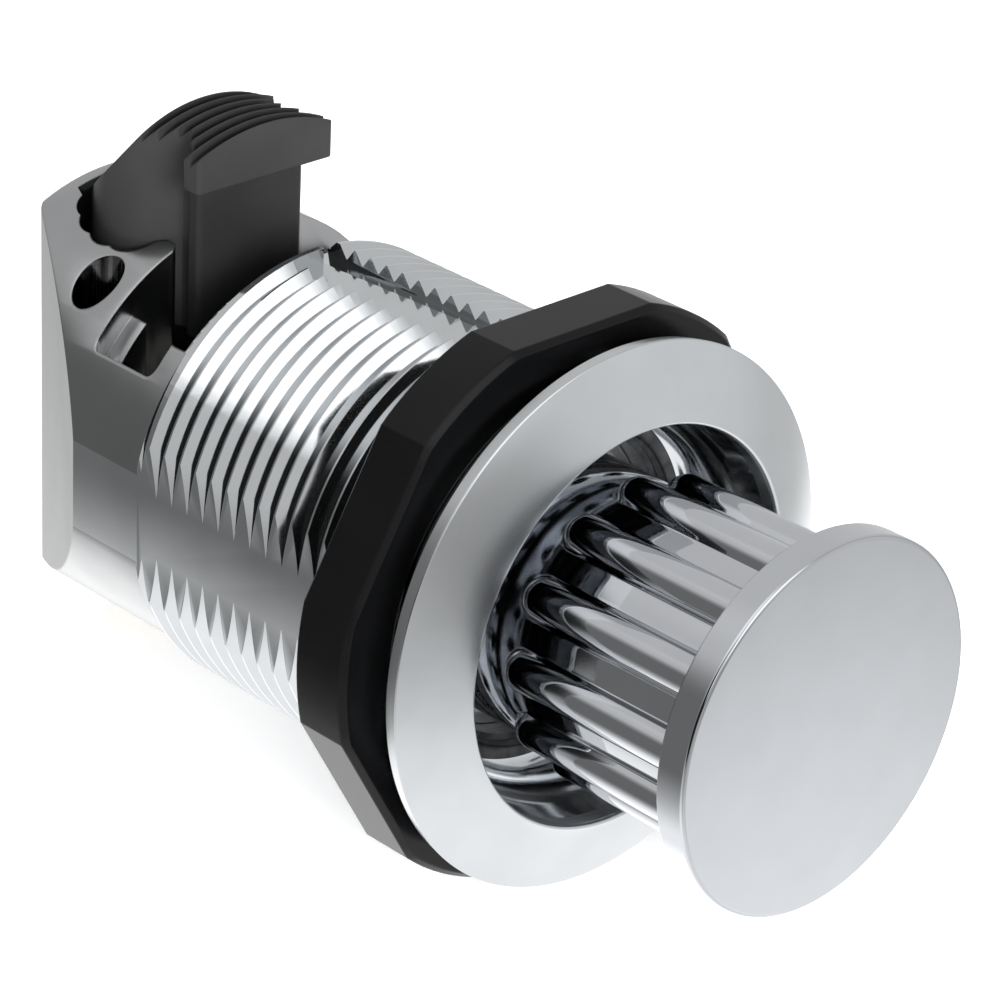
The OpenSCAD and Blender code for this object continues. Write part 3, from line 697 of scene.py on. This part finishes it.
@dataclass
class Knob:
    """The pop-out knob: a domed head on a stem with half-round ribs, in one skin.

    `neck` gives the fillet where the stem meets the head, as (depth behind the head, how far out). The
    face's finish reaches over `face_share` of the rim's rounding. The head's back runs in to
    `shoulder_out` outside the lands, and the stem's straight rows start `neck_len` behind it.
    """

    head_r: float = 12.84
    rim_y: float = -19.87
    dome: float = 0.25
    back_y: float = -17.62
    rim_round: float = 0.3
    back_round: float = 0.14
    foot_round: float = 0.15
    hollow_round: float = 0.3
    ribs: int = 12
    land_r: float = 9.45
    rib_centre_r: float = 9.15
    rib_r: float = 1.55
    rib_end_y: float = -1.2
    root_fillet: float = 0.14
    stem_y: float = 6.97
    hollow_r: float = 7.2
    inner_y: float = -17.32
    neck: tuple[tuple[float, float], ...] = ((0.0, 0.18), (0.04, 0.06), (0.12, 0.015), (0.24, 0.0))
    shoulder_out: float = 1.9
    neck_len: float = 1.0
    pole_r: float = 0.6
    rim_in: float = 0.6
    face_share: float = 0.4
    arc_steps: int = 11
    fillet_steps: int = 3
    land_steps: int = 5
    face_rows: int = 16
    stem_rows: int = 10
    end_rows: int = 22
    sharp_angle: float = 50.0

    def outline(self, radius: float) -> tuple[np.ndarray, np.ndarray]:
        """The stem's outline once round for a given radius of the ribs.

        Each rib is an arc about its own centre. A small arc that touches both the rib and the land
        leads from one to the other, found from the triangle of the three circles' centres. A rib too
        small to stand over the land leaves the land alone.

        Args:
            radius: Radius of the ribs' section at this row.

        Returns:
            Polar radius and angle of each point.
        """
        c, land = self.rib_centre_r, self.land_r
        q = self.root_fillet * min(1.0, max(0.15, radius / self.rib_r))
        pitch = 2 * math.pi / self.ribs
        if radius > land - c + 0.02:
            cos_beta = (c * c + (land + q) ** 2 - (radius + q) ** 2) / (2 * c * (land + q))
            beta = math.acos(min(1.0, max(-1.0, cos_beta)))
            f = (land + q) * np.array([math.cos(beta), math.sin(beta)])
            on_rib = math.atan2(f[1], f[0] - c)
            t = np.linspace(0, on_rib, self.arc_steps)
            arc = np.stack([c + radius * np.cos(t), radius * np.sin(t)], 1)
            s = np.linspace(on_rib + math.pi, math.pi + beta, self.fillet_steps + 1)[1:]
            fillet = f + q * np.stack([np.cos(s), np.sin(s)], 1)
            half = np.vstack([arc, fillet])
            r, angle = np.hypot(half[:, 0], half[:, 1]), np.arctan2(half[:, 1], half[:, 0])
        else:
            beta = 0.02
            angle = np.linspace(0, beta, self.arc_steps + self.fillet_steps)
            r = np.full(len(angle), land)
        rest = np.linspace(beta, pitch / 2, self.land_steps + 1)[1:]
        r = np.concatenate([r, np.full(len(rest), land)])
        angle = np.concatenate([angle, rest])
        r = np.concatenate([r[::-1], r[1:-1]])
        angle = np.concatenate([-angle[::-1], angle[1:-1]])
        turns = np.arange(self.ribs)[:, None] * pitch
        return np.tile(r, self.ribs), (turns + angle[None, :]).ravel()

    def build(self) -> None:
        """Makes the skin row by row, from the middle of the face to the bottom of the hollow.

        Rows on the head and in the hollow are circles with the angles of the ribbed outline, so every
        row has the same points and one grid closes the whole knob. The face is a low paraboloid, and a
        rib ends in a quarter of a ball.
        """
        full_r, full_a = self.outline(self.rib_r)
        count = len(full_r)
        rows: list[np.ndarray] = []

        def ring(radius: np.ndarray | float, angle: np.ndarray, y: float) -> None:
            """Adds a row of points at (radius, angle) and height y."""
            r = np.broadcast_to(radius, (count,))
            rows.append(np.stack([r * np.sin(angle), np.full(count, y), r * np.cos(angle)], 1))

        def dome_y(r: float) -> float:
            """Height of the face at a radius."""
            return self.rim_y - self.dome * (1 - (r / self.head_r) ** 2)

        for r in np.linspace(self.pole_r, self.head_r - 2 * self.rim_in, self.face_rows):
            ring(r, full_a, dome_y(r))
        head = rounded(
            [
                (self.head_r - self.rim_in, dome_y(self.head_r - self.rim_in), 0.0),
                (self.head_r, self.rim_y, self.rim_round),
                (self.head_r, self.back_y, self.back_round),
                (self.land_r + self.shoulder_out, self.back_y, 0.0),
            ],
            closed=False,
            steps=7,
        )
        for r, y in head:
            ring(float(r), full_a, float(y))
        for depth, push in self.neck:
            ring(full_r + push, full_a, self.back_y + depth)
        ball_y = self.rib_end_y - self.rib_r
        for y in np.linspace(self.back_y + self.neck_len, ball_y, self.stem_rows):
            ring(full_r, full_a, float(y))
        for lat in np.radians(np.linspace(6, 88, self.end_rows)):
            r, a = self.outline(self.rib_r * math.cos(lat))
            ring(r, a, ball_y + self.rib_r * math.sin(lat))
        end_r, end_a = self.outline(0.0)
        foot = rounded(
            [
                (self.land_r, self.rib_end_y + 0.05, 0.0),
                (self.land_r, self.stem_y, self.foot_round),
                (self.hollow_r, self.stem_y, self.foot_round),
                (self.hollow_r, self.inner_y, self.hollow_round),
                (1.0, self.inner_y, 0.0),
            ],
            closed=False,
        )
        for r, y in foot:
            ring(float(r), end_a, float(y))
        points = np.concatenate(rows)
        faces = grid_quads(len(rows), count, False, True).tolist()
        faces += pole_fan(0, count, len(points)) + pole_fan(len(rows) - 1, count, len(points) + 1)
        points = np.vstack([points, [[0, dome_y(0), 0]], [[0, self.inner_y, 0]]])
        piece = mesh_object("knob_ribbed", points, faces)
        smooth_by_angle(piece, self.sharp_angle)
        face = face_centres(piece.data)[:, 1] < self.rim_y + self.face_share * self.rim_round
        finish_faces(piece, (BRIGHT_CHROME, FACE_CHROME), face)
        tie_piece(piece, Body.KNOB, Slot.POLISHED, "knob")


@dataclass
class PanelNut:
    """The hexagonal panel nut, with turned-off corners and a bevel round each face.

    From the depth `round_from` on, over `round_over`, the faces' rings turn from hexagons into circles.
    """

    af: float = 38.4
    corner_r: float = 20.15
    front_y: float = 2.64
    rear_y: float = 7.34
    bore_r: float = 16.1
    bevel: float = 0.38
    bevel_round: float = 0.1
    round_from: float = 0.8
    round_over: float = 1.6
    flat_steps: int = 10
    arc_steps: int = 10
    sharp_angle: float = 16.0

    def angles(self) -> np.ndarray:
        """Angles once round, with points where each flat meets its turned corner.

        Returns:
            The angles, in radians.
        """
        half = math.acos(self.af / 2 / self.corner_r)
        flat = np.linspace(-half, half, self.flat_steps, endpoint=False)
        corner = np.linspace(half, math.pi / 3 - half, self.arc_steps, endpoint=False)
        one = np.concatenate([flat, corner])
        return (np.arange(6)[:, None] * math.pi / 3 + one[None, :]).ravel()

    def build(self) -> None:
        """Makes the nut: each profile point gives a ring that follows the hexagon, drawn in by a depth.

        Radius at an angle is the lesser of the flat's distance over the cosine of the angle from the
        flat's middle, and the corner's radius. Depth 0 is the outside, and the bore is round.
        """
        t = self.angles()
        from_flat = (t + math.pi / 6) % (math.pi / 3) - math.pi / 6

        def row(depth: float, y: float) -> tuple[np.ndarray, np.ndarray, np.ndarray]:
            """A ring at this depth from the outside: the deeper it lies, the rounder it is."""
            hexagon = np.minimum((self.af / 2 - depth) / np.cos(from_flat), self.corner_r - depth)
            share = np.clip((depth - self.round_from) / self.round_over, 0, 1)
            r = np.maximum(hexagon * (1 - share) + (self.af / 2 - depth) * share, self.bore_r)
            return r * np.sin(t), np.full(len(t), y), r * np.cos(t)

        wall = self.af / 2 - self.bore_r
        b = self.bevel
        start, end = self.round_from, self.round_from + self.round_over
        profile = rounded(
            [
                (wall, self.front_y, 0.0),
                (end, self.front_y, 0.0),
                (start, self.front_y, 0.0),
                (b, self.front_y, self.bevel_round),
                (1e-3, self.front_y + b, self.bevel_round),
                (1e-3, self.rear_y - b, self.bevel_round),
                (b, self.rear_y, self.bevel_round),
                (start, self.rear_y, 0.0),
                (end, self.rear_y, 0.0),
                (wall, self.rear_y, 0.0),
            ],
            closed=True,
            steps=4,
        )
        piece = swept_columns("panel_nut_moulded", row, profile, len(t))
        smooth_by_angle(piece, self.sharp_angle)
        BLACK_NYLON.dress(piece)
        tie_piece(piece, Body.CASE, Slot.NYLON, "panel_nut")


@dataclass
class Thread:
    """The barrel's screw thread: a helical groove with straight sides that meet in a narrow root.

    `lead_y` is where the groove crosses the top line of the barrel for the first time. `mouth` and
    `root_w` are its widths at the crest and at the root. It fades out over the share `fade` of a turn.
    """

    pitch: float = 1.5875
    crest_r: float = 16.05
    root_r: float = 15.17
    mouth: float = 1.44
    root_w: float = 0.08
    lead_y: float = 0.405
    rear_y: float = 28.9
    fade: float = 0.35
    over: float = 0.06
    steps: int = 144

    def cutter(self) -> bpy.types.Object:
        """The groove as a solid: its section is carried along a helix.

        Point (t, k) is at angle 2 pi t from the top and height lead + pitch t plus the section's
        offset k, on the section's radius. The section is the groove's V, drawn on past the crest by
        its own slope. Over the last part of a turn the section moves outwards, so the groove fades.

        Returns:
            The solid.
        """
        turns = (self.rear_y - self.lead_y) / self.pitch
        t = np.linspace(0, turns, int(turns * self.steps) + 1)
        lift = (self.crest_r - self.root_r + 0.05) * np.clip((t - turns + self.fade) / self.fade, 0, 1) ** 2
        slope = (self.mouth - self.root_w) / 2 / (self.crest_r - self.root_r)
        wide = min(self.mouth / 2 + slope * self.over, self.pitch * 0.49)
        rim_r = self.crest_r + (wide - self.mouth / 2) / slope
        root = self.root_w / 2
        section = np.array([[self.root_r, -root], [rim_r, -wide], [rim_r, wide], [self.root_r, root]])
        a = 2 * math.pi * t[:, None]
        r = section[None, :, 0] + lift[:, None]
        y = self.lead_y + self.pitch * t[:, None] + section[None, :, 1]
        points = np.stack([r * np.sin(a), y, r * np.cos(a)], -1).reshape(-1, 3)
        n = len(section)
        faces = grid_quads(len(t), n, False, True).tolist()
        last = (len(t) - 1) * n
        faces += [list(range(n))[::-1], [last + k for k in range(n)]]
        return mesh_object("thread_cutter", points, faces)


@dataclass
class CaseCasting:
    """The case: threaded barrel and rear housing in one casting, with the real thread cut in.

    The barrel ends at `barrel_end`, and its skin lies outside `skin_r`. The knob's cup and bore lie
    within `cup_r` up to `cavity_end`. Two core holes stand beside the bolt.
    """

    thread: Thread = field(default_factory=Thread)
    edge_round: float = 0.14
    edge_angle: float = 28.0
    soft_from: float = 29.3
    soft_r: float = 13.4
    barrel_end: float = 29.2
    skin_r: float = 14.6
    cup_r: float = 14.25
    cavity_end: float = 28.0
    core_x: float = 9.38
    core_y: float = 40.2
    core_r: float = 1.8

    def build(self) -> None:
        """Bevels the housing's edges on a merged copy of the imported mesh, then cuts the thread."""
        piece = merged_copy("body", "case_threaded")
        self.soften(piece)
        cutter = self.thread.cutter()
        cut = piece.modifiers.new("thread", "BOOLEAN")
        cut.operation, cut.solver, cut.object = "DIFFERENCE", "EXACT", cutter
        apply_modifiers(piece)
        bpy.data.objects.remove(cutter)
        smooth_by_angle(piece, self.edge_angle)
        # The last two finishes are painted shade for the cup, the bore and the core holes.
        finishes = (SATIN_CASTING, THREAD_CHROME, CAVITY_PAINTED_SHADE, CORE_PAINTED_SHADE)
        finish_faces(piece, finishes, self.choose_finishes(piece.data))
        tie_piece(piece, Body.CASE, Slot.CASTING, "body")

    def soften(self, piece: bpy.types.Object) -> None:
        """Joins coplanar triangles and gives the outward edges of the rear housing a bevel.

        The short edges along the rims keep the bevel narrow. The finish's own `edge` rounds the look.

        Args:
            piece: The merged copy, which is changed.
        """
        work = bmesh.new()
        work.from_mesh(piece.data)
        flat = math.radians(0.3)
        parts = {"verts": work.verts, "edges": work.edges}
        bmesh.ops.dissolve_limit(work, angle_limit=flat, use_dissolve_boundaries=False, **parts)
        sharp = math.radians(self.edge_angle)
        edges = [
            e
            for e in work.edges
            if e.is_convex
            and e.calc_face_angle(0.0) > sharp
            and min(v.co.y for v in e.verts) > self.soft_from * MM
            and min(math.hypot(v.co.x, v.co.z) for v in e.verts) > self.soft_r * MM
        ]
        bmesh.ops.bevel(
            work,
            geom=edges,
            offset=self.edge_round * MM,
            offset_type="OFFSET",
            segments=3,
            profile=0.5,
            affect="EDGES",
            clamp_overlap=True,
        )
        work.to_mesh(piece.data)
        work.free()
        LOG.info("case: %d edges of the housing bevelled", len(edges))

    def choose_finishes(self, mesh: bpy.types.Mesh) -> np.ndarray:
        """Chooses each face's finish by its place.

        Args:
            mesh: The casting's mesh.

        Returns:
            0 for the plain skin, 1 for the barrel with its thread, 2 for painted shade on the cup and bore,
            and 3 for painted shade on the walls of the core holes.
        """
        x, y, z = face_centres(mesh).T
        normal = np.zeros(len(mesh.polygons) * 3)
        mesh.polygons.foreach_get("normal", normal)
        normal = normal.reshape(-1, 3)
        r = np.hypot(x, z)
        outwards = (x * normal[:, 0] + z * normal[:, 2]) / np.maximum(r, 1e-6)
        index = np.zeros(len(mesh.polygons), np.int32)
        index[(y < self.barrel_end) & (r > self.skin_r)] = 1
        # Painted shade: inward faces of the cup and the bore get the near-black finish.
        index[(y < self.cavity_end) & (r < self.cup_r) & (outwards < 0.5)] = 2
        # Painted shade: the walls of the core holes get the dark finish.
        core = np.hypot(np.abs(x) - self.core_x, y - self.core_y)
        index[(core < self.core_r + 0.05) & (np.abs(normal[:, 2]) < 0.5) & (z > 0)] = 3
        return index


@dataclass
class CupLining:
    """The polished skin of the knob's cup: a round wall that runs in one curve into the floor.

    Behind `dark_from` the curve and the floor have painted shade: a dark, streaked finish that stands in for
    the shade deep in the cup.
    """

    wall_r: float = 14.12
    floor_y: float = 5.12
    mouth_y: float = -1.47
    hole_r: float = 11.2
    curve_r: float = 2.85
    curve_y: float = 4.2
    curve_steps: int = 24
    back_r: float = 14.3
    back_y: float = 5.3
    dark_from: float = 4.75
    columns: int = 192
    sharp_angle: float = 40.0

    def build(self) -> None:
        """Turns the skin as a closed ring whose back lies inside the casting.

        The wall runs into the floor along a quarter of an ellipse.
        """
        t = np.linspace(0, math.pi / 2, self.curve_steps)
        curve_r = self.curve_r * (np.cos(t) - 1) + self.wall_r
        curve_y = self.curve_y * (np.sin(t) - 1) + self.floor_y
        curve = np.stack([curve_r, curve_y], 1)
        front = np.linspace(self.mouth_y, curve_y[0], 5)[:-1]
        wall = np.stack([np.full(len(front), self.wall_r), front], 1)
        back = [
            (self.hole_r, self.floor_y),
            (self.hole_r, self.back_y),
            (self.back_r, self.back_y),
            (self.back_r, self.mouth_y),
        ]
        piece = turned("cup_lining", np.vstack([wall, curve, back]), self.columns)
        smooth_by_angle(piece, self.sharp_angle)
        # Painted shade: faces behind `dark_from` get the dark floor finish for the shade deep in the cup.
        floor = face_centres(piece.data)[:, 1] > self.dark_from
        finish_faces(piece, (CUP_CHROME, CUP_FLOOR_PAINTED_SHADE), floor)
        tie_piece(piece, Body.CASE, Slot.CASTING)


@dataclass
class BoltMoulding:
    """The slam bolt, with painted shade on the plate under its strike tab: a darker finish that stands in
    for the tab's shadow.
    """

    plate_front: float = 35.1
    plate_rear: float = 36.7
    tab_z: float = 19.6
    sharp_angle: float = 24.0

    def build(self) -> None:
        """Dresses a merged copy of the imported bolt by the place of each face."""
        piece = merged_copy("bolt", "bolt_moulded")
        smooth_by_angle(piece, self.sharp_angle)
        _, y, z = face_centres(piece.data).T
        # Painted shade: the plate under the tab gets the darker finish for the tab's shadow.
        plate = (y > self.plate_front) & (y < self.plate_rear) & (z < self.tab_z)
        finish_faces(piece, (BOLT_NYLON, PLATE_PAINTED_SHADE), plate)
        tie_piece(piece, Body.BOLT, Slot.NYLON, "bolt")


@dataclass
class CoilSprings:
    """The two coil springs, as fine round wires."""

    knob_travel: float = 16.9
    knob_wire: float = 0.6
    knob_turns: int = 7
    bolt_travel: float = 8.3
    bolt_wire: float = 0.4
    bolt_turns: int = 14

    def wind(
        self, node: str, wire: float, turns: int, upright: bool
    ) -> tuple[bpy.types.Object, np.ndarray, float]:
        """Makes one spring in the box of its packed form.

        Args:
            node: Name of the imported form.
            wire: Thickness of the wire.
            turns: Turns of the coil.
            upright: Whether the spring stands along Z. Otherwise it lies along Y.

        Returns:
            The spring, the low corner of its box and its length, in millimetres.
        """
        low, high = (np.array(v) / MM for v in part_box(node))
        middle = (low + high) / 2
        length = (high - low)[2 if upright else 1]
        path = coil_path((high[0] - low[0]) / 2 - wire / 2, wire, length, turns)
        if upright:
            path += np.array([0.0, middle[1], low[2]])
        else:
            path = np.stack([path[:, 0], path[:, 2] + low[1], -path[:, 1]], 1)
        spring = tube(f"{node}_wire", path, wire / 2)
        SPRING_STEEL.dress(spring)
        return spring, low, length

    def build(self) -> None:
        """Makes both springs and ties them to their joints."""
        wire, low, length = self.wind("knob_spring", self.knob_wire, self.knob_turns, upright=False)
        tie_piece(wire, Body.KNOB, Slot.SPRING, "knob_spring")
        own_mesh(wire)
        wire, low, length = self.wind("bolt_spring", self.bolt_wire, self.bolt_turns, upright=True)
        tie_piece(wire, Body.CASE, Slot.SPRING, "bolt_spring")
        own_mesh(wire)


@dataclass
class CarriedNodes:
    """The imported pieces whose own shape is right: they only get their finishes."""

    finishes: dict[str, Finish] = field(
        default_factory=lambda: {
            "guide_bush": PALE_ACETAL,
            "stop_pad": SOFT_RUBBER,
            "park_ring": SPRING_STEEL,
            "bottom_plug": PLAIN_BRASS,
            "pull_rod": TURNED_STEEL,
            "rod_washer": TURNED_STEEL,
            "rod_screw": SPRING_STEEL,
            "fork": TURNED_STEEL,
            "fork_screw": SPRING_STEEL,
            "cross_pin": TURNED_STEEL,
            "pin_clip_left": SPRING_STEEL,
            "pin_clip_right": SPRING_STEEL,
            "stem_collar": TURNED_STEEL,
            "slide_ring": PALE_ACETAL,
        }
    )

    def build(self) -> None:
        """Dresses each carried node."""
        for node, finish in self.finishes.items():
            finish.dress(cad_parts[node])
            LOG.info("%s: %s", node, finish.name)


# Camera, floor, world and lamps


@dataclass
class Softbox:
    """A soft rectangular lamp that looks at the latch. Its place and size are in metres."""

    name: str
    place: tuple[float, float, float]
    size: tuple[float, float]
    power: float

    def build(self, aim: Vector) -> None:
        """Makes the lamp and turns it to the point `aim`. Metal doesn't reflect it."""
        lamp = bpy.data.lights.new(self.name, "AREA")
        lamp.shape = "RECTANGLE"
        lamp.size, lamp.size_y = self.size
        lamp.energy = self.power
        obj = add_object(self.name, lamp)
        obj.location = Vector(self.place)
        obj.rotation_euler = (aim - obj.location).to_track_quat("-Z", "Y").to_euler()
        obj.visible_glossy = False
        LOG.info("%s: %.1f W", self.name, self.power)


@dataclass(frozen=True)
class Glow:
    """A soft patch of the room that metal sees, brighter or darker than the rest of the room.

    It has its full strength within `inner` degrees of its direction and fades to nothing at `outer`.
    """

    way: tuple[float, float, float]
    inner: float
    outer: float
    strength: float


@dataclass
class Studio:
    """Camera, floor, world and lamps.

    Angles of the camera are in radians, its distance and shifts in millimetres, and `focal_px` is its
    focal length in pixels of a picture 1000 wide. The floor fades out between the two radii of
    `floor_fade`, and the lamps look at `aim`, both in metres. `room` is what metal sees of the room
    apart from its patches, and `soft_light` what falls on dull surfaces from all sides.
    """

    azimuth: float = -0.786
    elevation: float = 0.460
    roll: float = 0.051
    focal_px: float = 4200.0
    distance: float = 273.0
    shift_right: float = -6.527
    shift_up: float = 7.248
    sensor_width: float = 36.0
    floor_z: float = -19.45
    floor_r: float = 900.0
    floor_fade: tuple[float, float] = (0.25, 0.8)
    paper: float = 0.86
    paper_glow: float = 0.52
    room: float = 0.70
    soft_light: float = 0.30
    aim: tuple[float, float, float] = (0.0, 0.012, 0.0)
    glows: tuple[Glow, ...] = (
        Glow((0.0, 0.0, -1.0), 40, 70, 0.62),
        Glow((0.62, -0.52, -0.60), 2, 16, 0.45),
        Glow((0.14, 0.66, -0.74), 8, 22, 0.4),
        Glow((0.87, 0.22, -0.44), 5, 16, 0.9),
        Glow((0.75, -0.66, 0.02), 10, 30, 0.2),
        Glow((0.0, -0.79, 0.61), 18, 30, 1.3),
        Glow((-0.45, 0.10, 0.89), 10, 34, 0.6),
        Glow((-0.90, -0.32, 0.28), 24, 40, -0.68),
        Glow((-0.64, -0.58, 0.46), 5, 17, 1.1),
        Glow((-0.66, 0.70, -0.15), 24, 44, -0.5),
        Glow((0.10, -0.99, -0.02), 6, 20, -0.32),
        Glow((-0.63, -0.64, -0.44), 14, 30, -0.2),
    )
    boxes: tuple[Softbox, ...] = (
        Softbox("top_box", (-0.02, 0.06, 0.47), (0.22, 0.22), 1.6),
        Softbox("front_box", (-0.22, -0.42, 0.16), (0.30, 0.16), 4.6),
    )

    def camera(self) -> None:
        """The photograph's view: a long lens 273 mm from the latch, from its front left and above."""
        a, e, roll = self.azimuth, self.elevation, self.roll
        back = Vector((math.sin(a) * math.cos(e), -math.cos(a) * math.cos(e), math.sin(e)))
        right = Vector((math.cos(a), math.sin(a), 0.0))
        up = back.cross(right)
        across = right * math.cos(roll) + up * math.sin(roll)
        upwards = up * math.cos(roll) - right * math.sin(roll)
        centre = (across * self.shift_right + upwards * self.shift_up + back * self.distance) * MM
        lens = bpy.data.cameras.new("view")
        lens.sensor_width = self.sensor_width
        lens.lens = self.focal_px / 1000.0 * self.sensor_width
        lens.clip_start, lens.clip_end = 0.01, 100.0
        obj = add_object("view", lens)
        turn = Matrix((across, upwards, back)).transposed()
        obj.matrix_world = Matrix.Translation(centre) @ turn.to_4x4()
        bpy.context.scene.camera = obj

    def floor(self) -> None:
        """A wide pale disc under the latch that fades out at its rim.

        Mirror rays pass through it, because the latch is shown as the metal would look over open white
        ground. It keeps the soft shadow.
        """
        t = np.linspace(0, 2 * math.pi, 96, endpoint=False)
        rim = [self.floor_r * np.cos(t), self.floor_r * np.sin(t), np.full(len(t), self.floor_z)]
        obj = mesh_object("floor", np.stack(rim, 1), [list(range(len(t)))])
        made = bpy.data.materials.new("floor_paper")
        g = Graph(made)
        place = g.node("ShaderNodeTexCoord").outputs["Object"]
        length = g.node("ShaderNodeVectorMath", {0: place}, operation="LENGTH").outputs["Value"]
        path = g.node("ShaderNodeLightPath").outputs
        through = g.math("MAXIMUM", g.ease(length, *self.floor_fade, 1.0), path["Is Glossy Ray"])
        white = (self.paper, self.paper, self.paper, 1.0)
        paper = g.node("ShaderNodeBsdfDiffuse", {"Color": white}).outputs[0]
        glow = g.node("ShaderNodeEmission", {"Strength": self.paper_glow}).outputs[0]
        lit = g.node("ShaderNodeAddShader", {0: paper, 1: glow}).outputs[0]
        clear = g.node("ShaderNodeBsdfTransparent").outputs[0]
        g.node("ShaderNodeOutputMaterial", {"Surface": g.mix(through, lit, clear)})
        obj.data.materials.append(made)

    def world(self) -> None:
        """White for the camera, even soft light on surfaces, and for metal a room with soft patches."""
        world = bpy.data.worlds.new("studio")
        bpy.context.scene.world = world
        g = Graph(world)
        way = g.node("ShaderNodeTexCoord").outputs["Generated"]
        room = self.room
        for glow in self.glows:
            room = g.math("ADD", self.patch(g, way, glow), room)
        room = g.math("MAXIMUM", room, 0.01)
        path = g.node("ShaderNodeLightPath").outputs
        seen, soft, mirror = (
            g.node("ShaderNodeBackground", {"Color": (1, 1, 1, 1), "Strength": strength}).outputs[0]
            for strength in (1.0, self.soft_light, room)
        )
        bounced = g.math("MAXIMUM", path["Is Glossy Ray"], path["Is Transmission Ray"])
        light = g.mix(bounced, soft, mirror)
        g.node("ShaderNodeOutputWorld", {"Surface": g.mix(path["Is Camera Ray"], light, seen)})

    def patch(self, g: Graph, way: bpy.types.NodeSocket, glow: Glow) -> bpy.types.NodeSocket:
        """Adds one patch of the room: its strength by the angle between its direction and the ray.

        Args:
            g: The world's nodes.
            way: The ray's direction.
            glow: The patch.

        Returns:
            The patch's share of the room's strength.
        """
        inputs = {0: way, 1: Vector(glow.way).normalized()}
        dot = g.node("ShaderNodeVectorMath", inputs, operation="DOT_PRODUCT")
        rim, heart = (math.cos(math.radians(a)) for a in (glow.outer, glow.inner))
        return g.ease(dot.outputs["Value"], rim, heart, glow.strength)

    def build(self) -> None:
        """Sets up the whole studio."""
        bpy.context.scene.view_settings.view_transform = "Standard"
        self.camera()
        self.floor()
        self.world()
        for box in self.boxes:
            box.build(Vector(self.aim))


def main() -> None:
    """Builds the pieces of the latch in order, and then the studio round it."""
    logging.basicConfig(level=logging.INFO, format="%(name)s: %(message)s")
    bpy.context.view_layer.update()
    CaseCasting().build()
    TrimRing().build()
    PanelNut().build()
    Knob().build()
    CupLining().build()
    BoltMoulding().build()
    CoilSprings().build()
    CarriedNodes().build()
    Studio().build()


if __name__ == "__main__":
    main()
